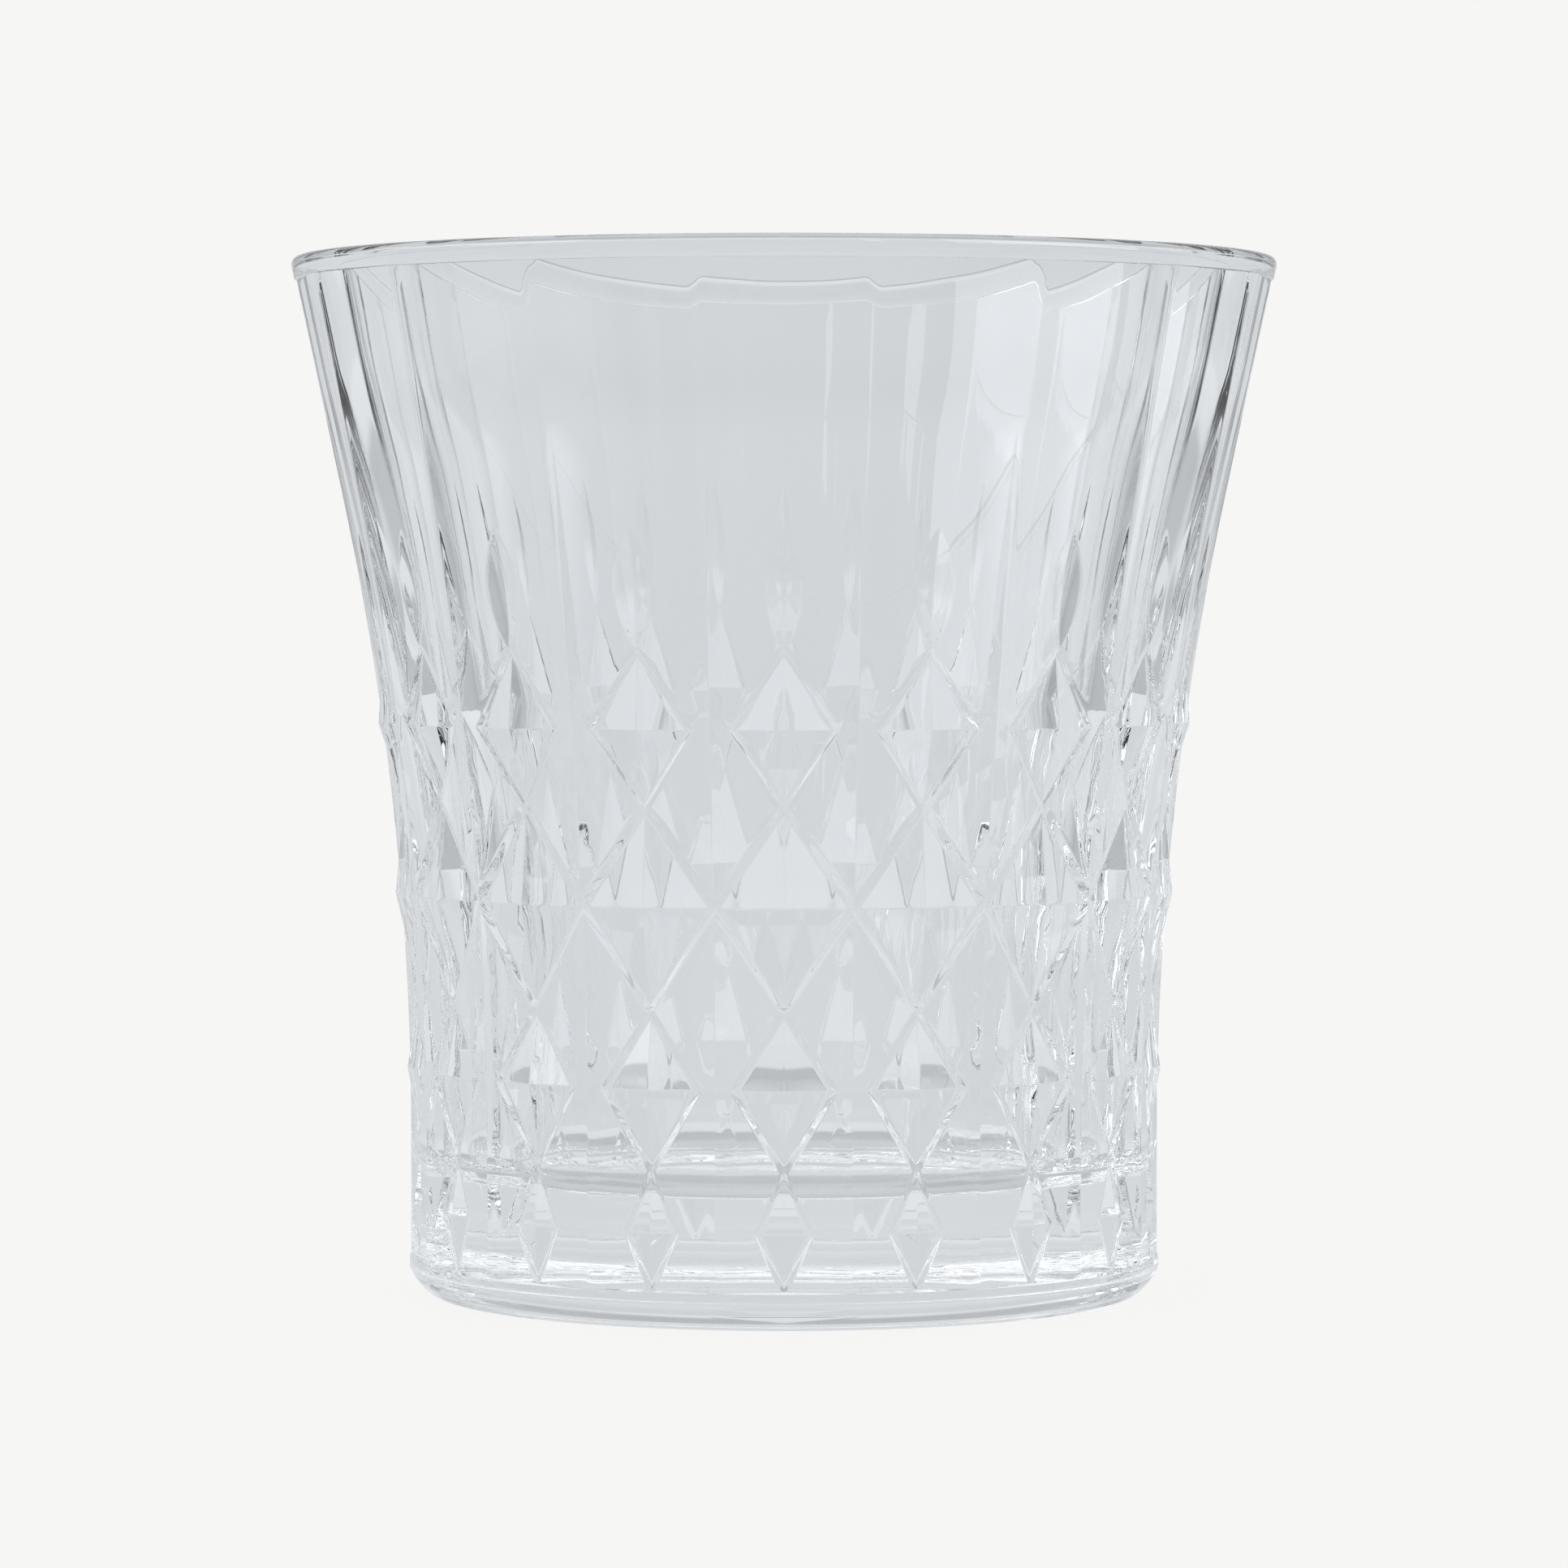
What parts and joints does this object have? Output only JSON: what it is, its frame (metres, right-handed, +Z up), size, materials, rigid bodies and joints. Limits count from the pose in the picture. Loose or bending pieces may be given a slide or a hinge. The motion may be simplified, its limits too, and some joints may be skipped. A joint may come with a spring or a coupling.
{
  "type": "whiskey tumbler",
  "caption": "Clear pressed-glass whiskey tumbler with a flared panelled wall, raised diamonds, leaf cuts, a smooth lip and a thick base.",
  "frame": {"origin": "centre of the foot, on the surface it stands on", "axes": "+Z up along the axis of the glass; the middle of one panel faces -Y"},
  "size_m": [0.0902, 0.0902, 0.095],
  "materials": {
    "clear_glass": "polished clear pressed glass"
  },
  "bodies": {
    "root": {"glass_body": "clear_glass"}
  },
  "joints": []
}
